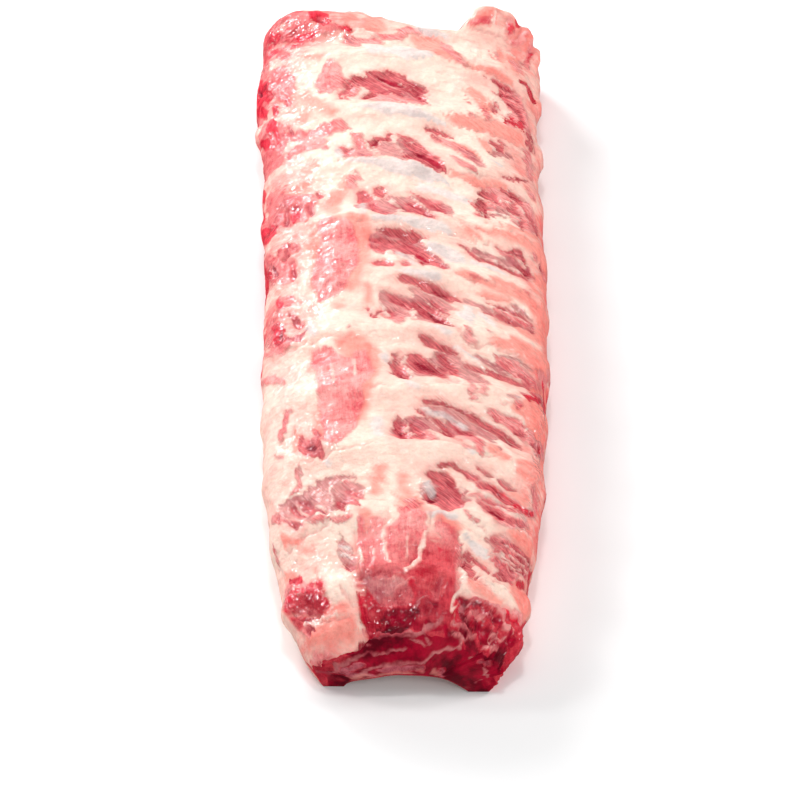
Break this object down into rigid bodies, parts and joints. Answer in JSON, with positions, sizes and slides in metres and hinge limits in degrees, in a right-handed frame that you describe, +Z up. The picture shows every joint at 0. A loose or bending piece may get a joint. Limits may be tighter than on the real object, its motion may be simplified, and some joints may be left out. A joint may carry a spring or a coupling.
{
  "type": "rack of ribs",
  "caption": "Raw rack of pork ribs lying bone side down: one arched slab of meat and fat over curved ribs, cut straight at its narrow end.",
  "frame": {"origin": "centre of the bounding box's bottom face, on the surface the rack lies on", "axes": "+Y along the rack from its narrow cut end to its wide end, +Z up, +X to the right seen from the narrow end"},
  "size_m": [0.1166, 0.4004, 0.0396],
  "materials": {
    "raw_meat": "moist raw meat with pale fat"
  },
  "bodies": {
    "root": {"rack": "raw_meat"}
  },
  "joints": []
}
